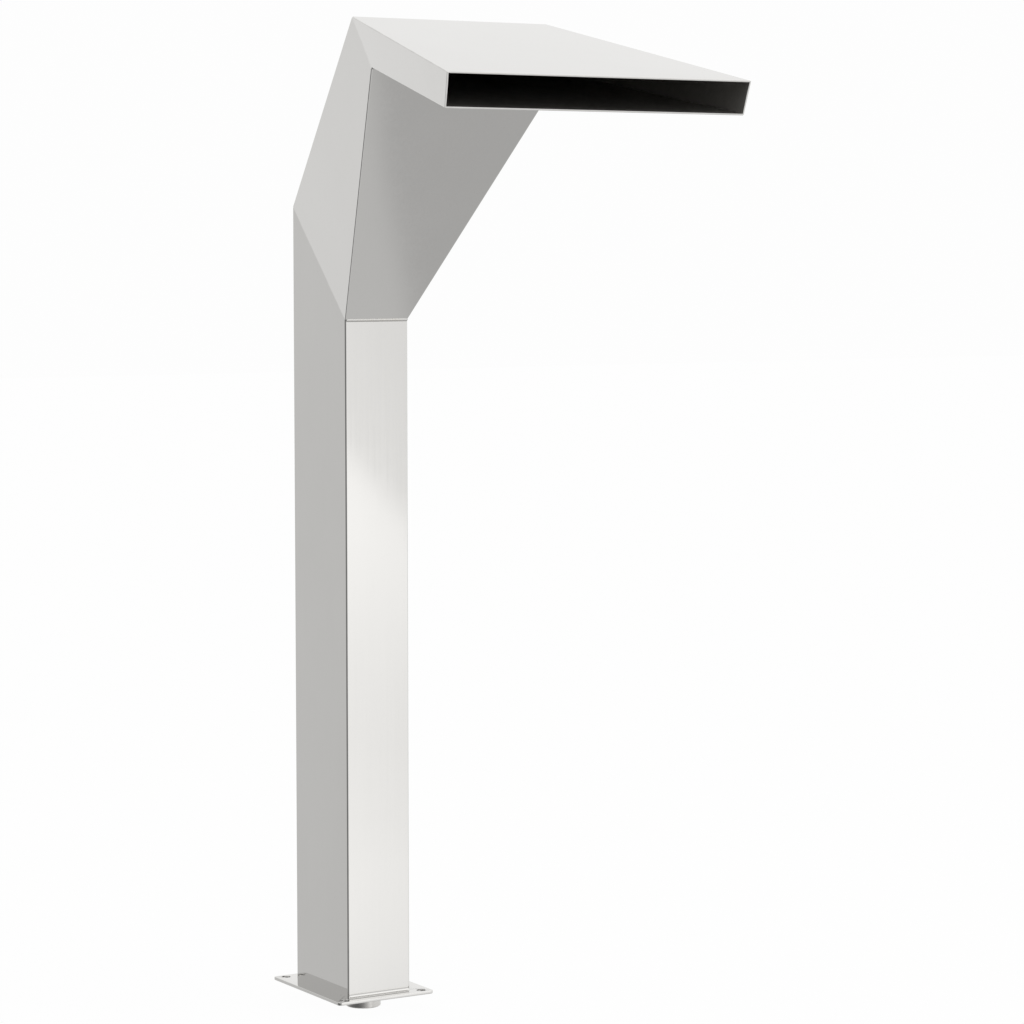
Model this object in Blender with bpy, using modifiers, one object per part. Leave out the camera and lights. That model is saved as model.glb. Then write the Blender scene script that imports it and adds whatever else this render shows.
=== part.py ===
"""Pool fountain spout: a welded sheet-steel water blade on a rectangular post.

Units are metres, +Z is up. The origin is the centre of the base plate's
underside, the mouth looks along -Y, and the part is symmetric about X = 0.
Water enters through the pipe nipple under the plate, rises in the post,
spreads in the neck and leaves the head through the slot mouth.
"""

from math import cos, pi, radians, sin, sqrt

import bmesh
import bpy
from mathutils import Matrix, Vector

MM = 0.001

# ---------------------------------------------------------------- dimensions
SHEET = 1.5 * MM            # wall of every duct panel
GAP = 0.3 * MM              # clearance kept between neighbouring pieces
TOTAL_HEIGHT = 900.0 * MM   # underside of the plate to the head's back edge

PLATE_X = 101.6 * MM
PLATE_Y = 132.6 * MM
PLATE_T = 3.0 * MM
PLATE_CORNER_R = 3.5 * MM
BOLT_X = 40.8 * MM          # bolt holes at (+-BOLT_X, +-BOLT_Y)
BOLT_Y = 58.8 * MM
BOLT_HOLE_R = 4.25 * MM

POST_HALF_X = 33.0 * MM
POST_HALF_Y = 51.1 * MM
POST_FRONT_Z = 633.6 * MM   # top of the front wall
POST_BACK_Z = 738.9 * MM    # top of the back wall

NECK_FLARE = 0.235         # how fast the sides widen away from the crease

HEAD_BACK_Y = -186.45 * MM  # top edge between neck and head
THROAT_Y = -217.6 * MM      # lower edge between neck and head
THROAT_Z = 854.1 * MM
MOUTH_TOP_Y = -433.5 * MM
MOUTH_TOP_Z = 840.4 * MM
MOUTH_TOP_HALF_X = 148.8 * MM
MOUTH_LOW_Y = -425.7 * MM
MOUTH_LOW_Z = 811.4 * MM
MOUTH_LOW_HALF_X = 146.6 * MM
HEAD_SIDE_CUTS = 7          # the head's sides are slightly twisted

INLET_Y = -20.0 * MM
NIPPLE_R = 16.6 * MM        # 1 inch pipe
NIPPLE_BORE_R = 13.5 * MM
NIPPLE_BELOW = 13.9 * MM
NIPPLE_ABOVE = 8.0 * MM
NIPPLE_CHAMFER = 0.8 * MM
INLET_HOLE_R = 17.05 * MM

FOOT_WELD_LEG = 2.5 * MM
SEAM_BEAD_R = 1.7 * MM
RING_WELD_LEG = 3.0 * MM

DIFFUSER_Z = 600.0 * MM     # underside of the perforated plate
DIFFUSER_T = 1.5 * MM
DIFFUSER_HOLE_R = 4.0 * MM
DIFFUSER_COLS = 4
DIFFUSER_ROWS = 6
LEDGE_LEG = 8.0 * MM
LEDGE_T = 1.2 * MM
LEDGE_LENGTH = 88.0 * MM


# --------------------------------------------------------------- scene setup
for old in list(bpy.data.objects):
    bpy.data.objects.remove(old, do_unlink=True)

part = bpy.data.collections.new("pool_fountain_spout")
bpy.context.scene.collection.children.link(part)
cutters = bpy.data.collections.new("cutters")
bpy.context.scene.collection.children.link(cutters)

root = bpy.data.objects.new("spout_origin", None)
part.objects.link(root)


def material(name, colour, roughness, metallic=1.0):
    m = bpy.data.materials.new(name)
    m.use_nodes = True
    b = m.node_tree.nodes["Principled BSDF"]
    b.inputs["Base Color"].default_value = (*colour, 1.0)
    b.inputs["Roughness"].default_value = roughness
    b.inputs["Metallic"].default_value = metallic
    m.diffuse_color = (*colour, 1.0)
    return m


def finish_piece(obj, colour, roughness, collection=None):
    """Gives a piece its own material and hangs it on the part's origin."""
    (collection or part).objects.link(obj)
    obj.data.materials.append(material(obj.name + "_steel", colour, roughness))
    obj.parent = root
    return obj


def as_cutter(obj):
    cutters.objects.link(obj)
    obj.hide_render = True
    obj.display_type = "WIRE"
    return obj


def face_outwards(bm):
    bmesh.ops.recalc_face_normals(bm, faces=bm.faces)
    if bm.calc_volume(signed=True) < 0:
        bmesh.ops.reverse_faces(bm, faces=bm.faces)


# ------------------------------------------------------- the duct's corners
def crease_distance(y, z):
    """Distance from the slanted crease at the top of the post's side wall."""
    dy, dz = 2 * POST_HALF_Y, POST_BACK_Z - POST_FRONT_Z
    length = sqrt(dy * dy + dz * dz)
    return (-(y + POST_HALF_Y) * dz + (z - POST_FRONT_Z) * dy) / length


def flared(y, z):
    return POST_HALF_X + NECK_FLARE * crease_distance(y, z)


FOOT_Z = PLATE_T + GAP
RIGHT = {
    "foot_back": Vector((POST_HALF_X, POST_HALF_Y, FOOT_Z)),
    "foot_front": Vector((POST_HALF_X, -POST_HALF_Y, FOOT_Z)),
    "post_back": Vector((POST_HALF_X, POST_HALF_Y, POST_BACK_Z)),
    "post_front": Vector((POST_HALF_X, -POST_HALF_Y, POST_FRONT_Z)),
    "head_back": Vector((flared(HEAD_BACK_Y, TOTAL_HEIGHT), HEAD_BACK_Y, TOTAL_HEIGHT)),
    "throat": Vector((flared(THROAT_Y, THROAT_Z), THROAT_Y, THROAT_Z)),
    "mouth_top": Vector((MOUTH_TOP_HALF_X, MOUTH_TOP_Y, MOUTH_TOP_Z)),
    "mouth_low": Vector((MOUTH_LOW_HALF_X, MOUTH_LOW_Y, MOUTH_LOW_Z)),
}
CORNERS = {("R", k): v for k, v in RIGHT.items()}
CORNERS.update({("L", k): Vector((-v.x, v.y, v.z)) for k, v in RIGHT.items()})


def r(name):
    return ("R", name)


def l(name):
    return ("L", name)


# Each panel is a ring of four corners, seen from outside, anticlockwise.
PANELS = {
    "post_right_side": [r("foot_front"), r("foot_back"), r("post_back"), r("post_front")],
    "post_left_side": [l("foot_back"), l("foot_front"), l("post_front"), l("post_back")],
    "post_back_panel": [r("foot_back"), l("foot_back"), l("post_back"), r("post_back")],
    "post_front_panel": [l("foot_front"), r("foot_front"), r("post_front"), l("post_front")],
    "neck_right_side": [r("throat"), r("post_front"), r("post_back"), r("head_back")],
    "neck_left_side": [l("head_back"), l("post_back"), l("post_front"), l("throat")],
    "neck_back_panel": [r("post_back"), l("post_back"), l("head_back"), r("head_back")],
    "neck_underside_panel": [l("post_front"), r("post_front"), r("throat"), l("throat")],
    "head_right_side": [r("throat"), r("head_back"), r("mouth_top"), r("mouth_low")],
    "head_left_side": [l("mouth_low"), l("mouth_top"), l("head_back"), l("throat")],
    "head_top_panel": [r("head_back"), l("head_back"), l("mouth_top"), r("mouth_top")],
    "head_floor_panel": [l("throat"), r("throat"), r("mouth_low"), l("mouth_low")],
}

MOUTH_DOWN = (CORNERS[r("mouth_low")] - CORNERS[r("mouth_top")])
MOUTH_NORMAL = Vector((0.0, MOUTH_DOWN.z, -MOUTH_DOWN.y)).normalized()  # out of the mouth
FOOT_NORMAL = Vector((0.0, 0.0, -1.0))


def local_normal(panel, corner):
    """Outward normal of a panel at one of its corners."""
    ring = PANELS[panel]
    i = ring.index(corner)
    here = CORNERS[corner]
    after = CORNERS[ring[(i + 1) % 4]] - here
    before = CORNERS[ring[(i - 1) % 4]] - here
    n = after.cross(before).normalized()
    # flat panels: corners agree, so the sign only has to be checked once
    centre = sum((CORNERS[c] for c in ring), Vector()) / 4
    inside = inner_axis_point(centre)
    return n if n.dot(centre - inside) > 0 else -n


def inner_axis_point(p):
    """A point in the middle of the duct near p."""
    if p.z < 0.5 * (POST_FRONT_Z + POST_BACK_Z) and abs(p.y) < POST_HALF_Y + 1e-6:
        return Vector((0.0, 0.0, p.z))
    if p.y > THROAT_Y * 0.95:
        return Vector((0.0, -0.11, 0.79))
    t = (p.y - THROAT_Y) / (MOUTH_TOP_Y - THROAT_Y)
    return Vector((0.0, p.y, 0.877 + t * (0.826 - 0.877)))


def neighbour(panel, a, b):
    for other, ring in PANELS.items():
        if other != panel and a in ring and b in ring:
            i, j = ring.index(a), ring.index(b)
            if (i - j) % 4 in (1, 3):
                return other
    return None


def meet(planes):
    """The point shared by three planes, each given as (point, normal)."""
    m = Matrix([n for _, n in planes])
    return m.inverted() @ Vector([p.dot(n) for p, n in planes])


def edge_cut(panel, corner, a, b):
    """The mitre plane along edge a-b, taken at one of its ends, moved into the panel by half a gap."""
    p = CORNERS[corner]
    n = local_normal(panel, corner)
    other = neighbour(panel, a, b)
    ring = PANELS[panel]
    centre = sum((CORNERS[c] for c in ring), Vector()) / 4
    if other is None:
        m = MOUTH_NORMAL if "mouth" in a[1] else FOOT_NORMAL
        return p, m
    m = (n - local_normal(other, corner)).normalized()
    if m.dot(centre - p) < 0:
        m = -m
    return p + m * (GAP * 0.70), m


def panel_corners(panel):
    """Outer and inner corner points of a panel, in ring order."""
    ring = PANELS[panel]
    outer, inner = [], []
    for i, c in enumerate(ring):
        before, after = ring[i - 1], ring[(i + 1) % 4]
        n = local_normal(panel, c)
        cuts = [edge_cut(panel, c, before, c), edge_cut(panel, c, c, after)]
        p = CORNERS[c]
        outer.append(meet([(p, n), *cuts]))
        inner.append(meet([(p - n * SHEET, n), *cuts]))
    return outer, inner


def make_panel(name, colour, roughness, cuts=0):
    """A cube whose corners are moved to the panel's mitred corners; a twisted panel is cut along its length first."""
    outer, inner = panel_corners(name)
    if cuts:
        # start the ring so that its first edge runs along the panel's length
        ring = PANELS[name]
        lengths = [(CORNERS[ring[i]] - CORNERS[ring[(i + 1) % 4]]).length for i in range(4)]
        k = lengths.index(max(lengths))
        outer = outer[k:] + outer[:k]
        inner = inner[k:] + inner[:k]
    bm = bmesh.new()
    bmesh.ops.create_cube(bm, size=2.0)
    if cuts:
        along = [e for e in bm.edges if abs(e.verts[0].co.x - e.verts[1].co.x) > 1.0]
        bmesh.ops.subdivide_edges(bm, edges=along, cuts=cuts, use_grid_fill=True)
    for v in bm.verts:
        u, s, w = (v.co.x + 1) / 2, (v.co.y + 1) / 2, (v.co.z + 1) / 2
        face = []
        for quad in (inner, outer):
            low = quad[0].lerp(quad[1], u)
            high = quad[3].lerp(quad[2], u)
            face.append(low.lerp(high, s))
        v.co = face[0].lerp(face[1], w)
    face_outwards(bm)
    mesh = bpy.data.meshes.new(name)
    bm.to_mesh(mesh)
    bm.free()
    return finish_piece(bpy.data.objects.new(name, mesh), colour, roughness)


POLISHED = (0.66, 0.655, 0.64)
for panel_name in PANELS:
    make_panel(
        panel_name,
        POLISHED,
        0.22,
        HEAD_SIDE_CUTS if panel_name in ("head_left_side", "head_right_side") else 0,
    )


# ------------------------------------------------------------- flat outlines
def circle(x, y, radius, count):
    return [(x + radius * cos(2 * pi * i / count), y + radius * sin(2 * pi * i / count)) for i in range(count)]


def rounded_rectangle(half_x, half_y, radius, steps=4):
    points = []
    for cx, cy, start in ((1, 1, 0), (-1, 1, 90), (-1, -1, 180), (1, -1, 270)):
        for i in range(steps + 1):
            a = radians(start + 90 * i / steps)
            points.append((cx * (half_x - radius) + radius * cos(a), cy * (half_y - radius) + radius * sin(a)))
    return points


def flat_outline(name, outlines, thickness):
    curve = bpy.data.curves.new(name, "CURVE")
    curve.dimensions = "2D"
    curve.fill_mode = "BOTH"
    curve.extrude = thickness / 2
    for points in outlines:
        spline = curve.splines.new("POLY")
        spline.points.add(len(points) - 1)
        for p, (x, y) in zip(spline.points, points):
            p.co = (x, y, 0.0, 1.0)
        spline.use_cyclic_u = True
    return bpy.data.objects.new(name, curve)


base_plate = flat_outline(
    "base_plate",
    [rounded_rectangle(PLATE_X / 2, PLATE_Y / 2, PLATE_CORNER_R), circle(0.0, INLET_Y, INLET_HOLE_R, 48)]
    + [circle(sx * BOLT_X, sy * BOLT_Y, BOLT_HOLE_R, 24) for sx in (-1, 1) for sy in (-1, 1)],
    PLATE_T,
)
base_plate.location = (0.0, 0.0, PLATE_T / 2)
finish_piece(base_plate, (0.64, 0.63, 0.61), 0.25)

# The perforated plate lies loose on its two ledges, clear of all four walls.
DIFFUSER_HALF_X = POST_HALF_X - SHEET - 0.6 * MM
DIFFUSER_HALF_Y = POST_HALF_Y - SHEET - 0.6 * MM
holes = []
for col in range(DIFFUSER_COLS):
    for row in range(DIFFUSER_ROWS):
        x = (col - (DIFFUSER_COLS - 1) / 2) * 11.0 * MM
        y = (row - (DIFFUSER_ROWS - 1) / 2) * 14.5 * MM
        holes.append(circle(x, y, DIFFUSER_HOLE_R, 12))
diffuser = flat_outline(
    "diffuser_plate",
    [rounded_rectangle(DIFFUSER_HALF_X, DIFFUSER_HALF_Y, 1.0 * MM, 2)] + holes,
    DIFFUSER_T,
)
diffuser.location = (0.0, 0.0, DIFFUSER_Z + DIFFUSER_T / 2)
finish_piece(diffuser, (0.55, 0.54, 0.52), 0.35)

for side, sign in (("left", -1), ("right", 1)):
    leg, t = LEDGE_LEG, LEDGE_T
    section = [(0.0, 0.0), (-leg, 0.0), (-leg, -t), (-t, -t), (-t, -leg), (0.0, -leg)]
    if sign < 0:
        section = [(-x, y) for x, y in reversed(section)]
    ledge = flat_outline("diffuser_ledge_" + side, [section], LEDGE_LENGTH)
    # the section's own Y becomes world Z, and the extrusion runs along world Y
    ledge.rotation_euler = (radians(90), 0.0, 0.0)
    ledge.location = (sign * (POST_HALF_X - SHEET - GAP), 0.0, DIFFUSER_Z - GAP)
    finish_piece(ledge, (0.55, 0.54, 0.52), 0.35)


# -------------------------------------------------------------- turned pieces
def turned(name, profile, steps, colour, roughness, place):
    """A closed profile of (radius, height) turned about Z; it starts down the outer side."""
    mesh = bpy.data.meshes.new(name)
    count = len(profile)
    mesh.from_pydata([(x, 0.0, z) for x, z in profile], [(i, (i + 1) % count) for i in range(count)], [])
    obj = finish_piece(bpy.data.objects.new(name, mesh), colour, roughness)
    screw = obj.modifiers.new("turn", "SCREW")
    screw.axis = "Z"
    screw.angle = 2 * pi
    screw.steps = steps
    screw.render_steps = steps
    screw.use_merge_vertices = True
    screw.merge_threshold = 0.00001
    screw.use_smooth_shade = True
    obj.location = place
    return obj


def nipple_profile():
    """Down the outside with a chamfer at each end, then back up the bore."""
    c = NIPPLE_CHAMFER
    return [
        (NIPPLE_R - c, NIPPLE_ABOVE),
        (NIPPLE_R, NIPPLE_ABOVE - c),
        (NIPPLE_R, -NIPPLE_BELOW + c),
        (NIPPLE_R - c, -NIPPLE_BELOW),
        (NIPPLE_BORE_R + 0.5 * c, -NIPPLE_BELOW),
        (NIPPLE_BORE_R, -NIPPLE_BELOW + 0.5 * c),
        (NIPPLE_BORE_R, NIPPLE_ABOVE),
    ]


turned("inlet_nipple", nipple_profile(), 40, (0.6, 0.59, 0.57), 0.3, (0.0, INLET_Y, 0.0))
turned(
    "inlet_weld_ring",
    [
        (INLET_HOLE_R, RING_WELD_LEG),
        (INLET_HOLE_R + 0.45 * RING_WELD_LEG, 0.55 * RING_WELD_LEG),
        (INLET_HOLE_R + RING_WELD_LEG, 0.0),
        (INLET_HOLE_R, 0.0),
    ],
    40,
    (0.5, 0.48, 0.45),
    0.4,
    (0.0, INLET_Y, PLATE_T + GAP),
)


# ---------------------------------------------------------------- weld beads
def seam_bead(name, line_corner, panel_a, panel_b):
    """A bead in the inside corner between two panels: a rod on the corner line, cut back to clear both of them."""
    p = CORNERS[line_corner]
    length = 2 * abs(p.x) - 1.6 * MM
    bm = bmesh.new()
    bmesh.ops.create_cone(
        bm, cap_ends=True, segments=20, radius1=SEAM_BEAD_R, radius2=SEAM_BEAD_R, depth=length
    )
    bmesh.ops.rotate(bm, verts=bm.verts, cent=(0, 0, 0), matrix=Matrix.Rotation(radians(90), 3, "Y"))
    for panel in (panel_a, panel_b):
        n = local_normal(panel, line_corner)
        bmesh.ops.bisect_plane(
            bm,
            geom=bm.verts[:] + bm.edges[:] + bm.faces[:],
            plane_co=n * GAP,
            plane_no=n,
            clear_inner=True,
        )
        bmesh.ops.holes_fill(bm, edges=[e for e in bm.edges if e.is_boundary])
    face_outwards(bm)
    mesh = bpy.data.meshes.new(name)
    bm.to_mesh(mesh)
    bm.free()
    obj = finish_piece(bpy.data.objects.new(name, mesh), (0.62, 0.61, 0.59), 0.3)
    obj.location = (0.0, p.y, p.z)
    return obj


seam_bead("front_seam_weld", r("post_front"), "post_front_panel", "neck_underside_panel")
seam_bead("throat_seam_weld", r("throat"), "neck_underside_panel", "head_floor_panel")


# The post's front and back walls are fillet welded to the plate; its side walls meet the plate cleanly.
for side, sign in (("front", -1), ("back", 1)):
    leg, wall = FOOT_WELD_LEG, POST_HALF_Y + GAP
    section = [(wall, 0.0), (wall + leg, 0.0), (wall + 0.55 * leg, 0.45 * leg), (wall + 0.2 * leg, 0.8 * leg), (wall, leg)]
    if sign < 0:
        section = [(-x, y) for x, y in reversed(section)]
    bead = flat_outline("foot_weld_" + side, [section], 2 * POST_HALF_X - 1.0 * MM)
    # the section lies in world YZ and the extrusion runs along world X
    bead.rotation_euler = (radians(90), 0.0, radians(90))
    bead.location = (0.0, 0.0, PLATE_T + GAP)
    finish_piece(bead, (0.62, 0.61, 0.59), 0.3)
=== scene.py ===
"""Looks for the pool fountain spout: polished stainless sheet, ground corner seams, weld beads, a pipe nipple and a
plain pale studio. Everything is in metres, in the CAD frame: origin under the base plate, +Z up, mouth towards -Y."""

from math import atan2, cos, pi, radians, sin, sqrt, tan

import bmesh
import bpy
import numpy as np
from mathutils import Matrix, Vector


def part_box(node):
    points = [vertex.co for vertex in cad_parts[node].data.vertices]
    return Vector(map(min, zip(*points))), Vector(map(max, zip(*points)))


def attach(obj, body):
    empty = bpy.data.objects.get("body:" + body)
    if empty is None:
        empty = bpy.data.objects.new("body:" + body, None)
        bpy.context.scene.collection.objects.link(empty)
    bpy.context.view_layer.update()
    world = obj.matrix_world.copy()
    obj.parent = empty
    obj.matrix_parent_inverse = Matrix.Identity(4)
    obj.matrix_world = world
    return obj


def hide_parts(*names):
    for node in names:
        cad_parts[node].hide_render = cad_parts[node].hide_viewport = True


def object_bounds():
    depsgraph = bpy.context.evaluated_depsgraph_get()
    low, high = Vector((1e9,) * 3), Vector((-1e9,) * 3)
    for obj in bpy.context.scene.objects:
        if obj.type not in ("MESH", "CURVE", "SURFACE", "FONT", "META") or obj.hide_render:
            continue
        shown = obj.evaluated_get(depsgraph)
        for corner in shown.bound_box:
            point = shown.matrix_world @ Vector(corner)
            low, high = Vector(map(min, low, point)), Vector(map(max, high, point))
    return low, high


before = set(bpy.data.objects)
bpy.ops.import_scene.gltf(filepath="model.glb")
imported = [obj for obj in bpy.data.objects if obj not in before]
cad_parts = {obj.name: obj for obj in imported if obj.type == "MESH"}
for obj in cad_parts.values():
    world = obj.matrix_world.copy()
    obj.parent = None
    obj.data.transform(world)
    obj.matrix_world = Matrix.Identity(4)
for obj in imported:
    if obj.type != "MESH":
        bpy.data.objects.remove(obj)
CAD_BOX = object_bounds()
BODY = "root"
MM = 0.001

# ------------------------------------------------------------------ camera
CAM_LOCATION = Vector((-1.49648, -2.72780, 0.70195))
CAM_YAW, CAM_PITCH, CAM_ROLL = 0.5504736, -0.0801414, -0.0005203


def build_camera():
    flat_right = Vector((cos(CAM_YAW), -sin(CAM_YAW), 0.0))
    flat_ahead = Vector((sin(CAM_YAW), cos(CAM_YAW), 0.0))
    up = Vector((0.0, 0.0, 1.0))
    ahead = flat_ahead * cos(CAM_PITCH) + up * sin(CAM_PITCH)
    above = up * cos(CAM_PITCH) - flat_ahead * sin(CAM_PITCH)
    right = flat_right * cos(CAM_ROLL) + above * sin(CAM_ROLL)
    above = above * cos(CAM_ROLL) - flat_right * sin(CAM_ROLL)
    data = bpy.data.cameras.new("camera")
    data.sensor_width = 36.0
    data.lens = 116.6158
    data.clip_start = 0.05
    data.clip_end = 60.0
    cam = bpy.data.objects.new("camera", data)
    rot = Matrix((right, above, -ahead)).transposed()
    cam.matrix_world = Matrix.Translation(CAM_LOCATION) @ rot.to_4x4()
    bpy.context.scene.collection.objects.link(cam)
    bpy.context.scene.camera = cam


build_camera()

# -------------------------------------------------------------- dimensions
SHEET = 1.5 * MM
PLATE_X, PLATE_Y, PLATE_T = 101.6 * MM, 132.6 * MM, 3.0 * MM
BOLT_X, BOLT_Y, BOLT_HOLE_R = 40.8 * MM, 58.8 * MM, 4.25 * MM
POST_X, POST_Y = 33.0 * MM, 51.1 * MM
POST_FRONT_Z, POST_BACK_Z = 633.6 * MM, 738.9 * MM
NECK_FLARE = 0.235
HEAD_BACK_Y, HEAD_BACK_Z = -186.45 * MM, 900.0 * MM
THROAT_Y, THROAT_Z = -217.6 * MM, 854.1 * MM
MOUTH_TOP = Vector((148.8, -433.5, 840.4)) * MM
MOUTH_LOW = Vector((146.6, -425.7, 811.4)) * MM
INLET_Y = -20.0 * MM
NIPPLE_R, NIPPLE_BORE_R, NIPPLE_CHAMFER = 16.6 * MM, 13.5 * MM, 0.8 * MM
NIPPLE_BELOW, NIPPLE_ABOVE = 13.9 * MM, 8.0 * MM
INLET_HOLE_R = 17.05 * MM
DIFFUSER_Z, DIFFUSER_T, DIFFUSER_HOLE_R = 600.0 * MM, 1.5 * MM, 4.0 * MM


# --------------------------------------------------------------- materials
class Nodes:
    """A thin helper around one node tree."""

    def __init__(self, tree):
        self.tree = tree

    def add(self, kind, **values):
        n = self.tree.nodes.new(kind)
        for key, v in values.items():
            setattr(n, key, v)
        return n

    def link(self, a, b):
        self.tree.links.new(a, b)

    def put(self, socket, value):
        if isinstance(value, bpy.types.NodeSocket):
            self.link(value, socket)
        else:
            socket.default_value = value

    def math(self, op, a, b=0.0, c=0.0, clamp=False):
        n = self.add("ShaderNodeMath", operation=op, use_clamp=clamp)
        for i, v in enumerate((a, b, c)):
            self.put(n.inputs[i], v)
        return n.outputs[0]

    def noise(self, vector, scale, detail=2.0, rough=0.5, distort=0.0):
        n = self.add("ShaderNodeTexNoise")
        self.link(vector, n.inputs["Vector"])
        n.inputs["Scale"].default_value = scale
        n.inputs["Detail"].default_value = detail
        n.inputs["Roughness"].default_value = rough
        n.inputs["Distortion"].default_value = distort
        return n.outputs["Fac"]

    def stretch(self, vector, scale, turn=(0.0, 0.0, 0.0)):
        n = self.add("ShaderNodeMapping")
        self.link(vector, n.inputs["Vector"])
        n.inputs["Rotation"].default_value = turn
        n.inputs["Scale"].default_value = scale
        return n.outputs["Vector"]

    def remap(self, value, lo, hi, to_lo, to_hi):
        n = self.add("ShaderNodeMapRange")
        n.clamp = True
        for key, v in (("Value", value), ("From Min", lo), ("From Max", hi), ("To Min", to_lo), ("To Max", to_hi)):
            self.put(n.inputs[key], v)
        return n.outputs["Result"]

    def tint(self, colour, factor):
        """colour times a grey factor."""
        n = self.add("ShaderNodeMix", data_type="RGBA", blend_type="MULTIPLY")
        n.inputs["Factor"].default_value = 1.0
        self.put(n.inputs[6], colour)
        self.link(factor, n.inputs[7])
        return n.outputs[2]

    def blend(self, factor, a, b):
        n = self.add("ShaderNodeMix", data_type="RGBA", blend_type="MIX")
        self.put(n.inputs[0], factor)
        self.put(n.inputs[6], a)
        self.put(n.inputs[7], b)
        return n.outputs[2]


def new_material(name):
    m = bpy.data.materials.new(name)
    m.use_nodes = True
    m.node_tree.nodes.clear()
    t = Nodes(m.node_tree)
    out = t.add("ShaderNodeOutputMaterial")
    b = t.add("ShaderNodeBsdfPrincipled")
    t.link(b.outputs[0], out.inputs[0])
    where = t.add("ShaderNodeTexCoord").outputs["Object"]
    return m, t, b, where


def polished_steel(name, colour, rough, grain, seed, wave=0.16, grain_turn=(0.0, 0.0, 0.0), smudge=0.03):
    """Buffed stainless sheet: a faint roll grain along one direction, soft polishing clouds, water marks in the
    roughness, and the slow bow of thin sheet in the normal."""
    m, t, b, where = new_material(name)
    moved = t.stretch(where, (1.0, 1.0, 1.0))
    moved.node.inputs["Location"].default_value = (seed * 1.37, seed * 0.71, seed * 2.13)
    clouds = t.noise(moved, 6.5, 2.0, 0.45, 0.4)
    spots = t.noise(moved, 38.0, 5.0, 0.6)
    lines = t.noise(t.stretch(moved, grain, grain_turn), 1.0, 3.0, 0.55)
    tone = t.math("ADD", t.remap(clouds, 0.3, 0.7, -0.012, 0.012), t.remap(spots, 0.3, 0.75, 0.996, 1.004))
    tone = t.math("ADD", tone, t.remap(lines, 0.3, 0.7, -0.006, 0.006))
    t.link(t.tint((*colour, 1.0), tone), b.inputs["Base Color"])
    r = t.math("ADD", t.remap(spots, 0.45, 0.8, rough, rough + smudge), t.remap(lines, 0.3, 0.7, -0.008, 0.012))
    t.link(t.math("ADD", r, t.remap(clouds, 0.35, 0.75, 0.0, smudge * 0.5)), b.inputs["Roughness"])
    b.inputs["Metallic"].default_value = 1.0
    bow = t.add("ShaderNodeBump")
    bow.inputs["Strength"].default_value = 1.0
    bow.inputs["Distance"].default_value = wave * MM
    t.link(t.noise(moved, 5.0, 1.0, 0.4), bow.inputs["Height"])
    fine = t.add("ShaderNodeBump")
    fine.inputs["Strength"].default_value = 0.35
    fine.inputs["Distance"].default_value = 0.002 * MM
    t.link(lines, fine.inputs["Height"])
    t.link(bow.outputs[0], fine.inputs["Normal"])
    t.link(fine.outputs[0], b.inputs["Normal"])
    return m


def seam_steel(name, colour, rough, seed):
    """A ground and buffed corner weld: cross grinding marks, a little rougher and brighter than the sheet."""
    m, t, b, where = new_material(name)
    moved = t.stretch(where, (1.0, 1.0, 1.0))
    moved.node.inputs["Location"].default_value = (seed, seed * 1.7, seed * 0.4)
    marks = t.noise(t.stretch(moved, (700.0, 700.0, 700.0)), 1.0, 3.0, 0.6)
    worn = t.noise(moved, 60.0, 4.0, 0.6)
    t.link(t.tint((*colour, 1.0), t.remap(worn, 0.3, 0.7, 0.95, 1.05)), b.inputs["Base Color"])
    t.link(t.math("ADD", t.remap(marks, 0.3, 0.7, rough - 0.02, rough + 0.05), t.remap(worn, 0.4, 0.8, 0.0, 0.05)),
           b.inputs["Roughness"])
    b.inputs["Metallic"].default_value = 1.0
    bump = t.add("ShaderNodeBump")
    bump.inputs["Strength"].default_value = 0.4
    bump.inputs["Distance"].default_value = 0.006 * MM
    t.link(marks, bump.inputs["Height"])
    t.link(bump.outputs[0], b.inputs["Normal"])
    return m


def mill_steel(name, colour, rough, seed, film=0.0):
    """The unpolished inside of the duct: dull mill finish with a dark water film."""
    m, t, b, where = new_material(name)
    moved = t.stretch(where, (1.0, 1.0, 1.0))
    moved.node.inputs["Location"].default_value = (seed * 0.9, seed * 1.1, seed)
    cloud = t.noise(moved, 14.0, 4.0, 0.55, 0.6)
    speck = t.noise(moved, 160.0, 3.0, 0.6)
    dark = tuple(0.72 * c for c in colour)
    t.link(t.blend(t.remap(cloud, 0.35, 0.7, 0.0, 1.0), (*colour, 1.0), (*dark, 1.0)), b.inputs["Base Color"])
    t.link(t.math("ADD", t.remap(speck, 0.3, 0.7, rough - 0.04, rough + 0.06), t.remap(cloud, 0.3, 0.7, -0.03, 0.04)),
           b.inputs["Roughness"])
    b.inputs["Metallic"].default_value = 1.0 - film
    bump = t.add("ShaderNodeBump")
    bump.inputs["Strength"].default_value = 0.3
    bump.inputs["Distance"].default_value = 0.01 * MM
    t.link(speck, bump.inputs["Height"])
    t.link(bump.outputs[0], b.inputs["Normal"])
    return m


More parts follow.
